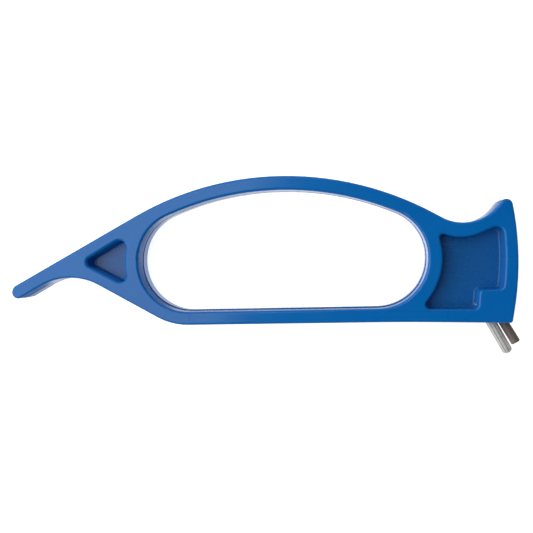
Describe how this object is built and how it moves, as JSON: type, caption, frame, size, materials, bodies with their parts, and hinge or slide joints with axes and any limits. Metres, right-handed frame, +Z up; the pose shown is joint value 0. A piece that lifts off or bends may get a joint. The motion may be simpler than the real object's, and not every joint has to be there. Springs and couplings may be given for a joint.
{
  "type": "hand-held blade sharpener",
  "caption": "Draw-along blade sharpener: fish-shaped moulded handle with a finger opening, thumb rest and tail, and a bright and a dark metal pin crossed under its nose.",
  "frame": {"origin": "centre of the object's box on the surface it lies on, under its lower side face", "axes": "+X along the handle from tail to pins, +Y from the guard bar to the knuckle arch, +Z up through the thickness"},
  "size_m": [0.1672, 0.0578, 0.0127],
  "materials": {
    "blue_plastic": "satin moulded, faint weld lines",
    "bright_steel": "drawn along its length",
    "dark_steel": "satin, ground"
  },
  "bodies": {
    "root": {"handle": "blue_plastic", "guide_pin": "bright_steel", "cutter_pin": "dark_steel"}
  },
  "joints": []
}
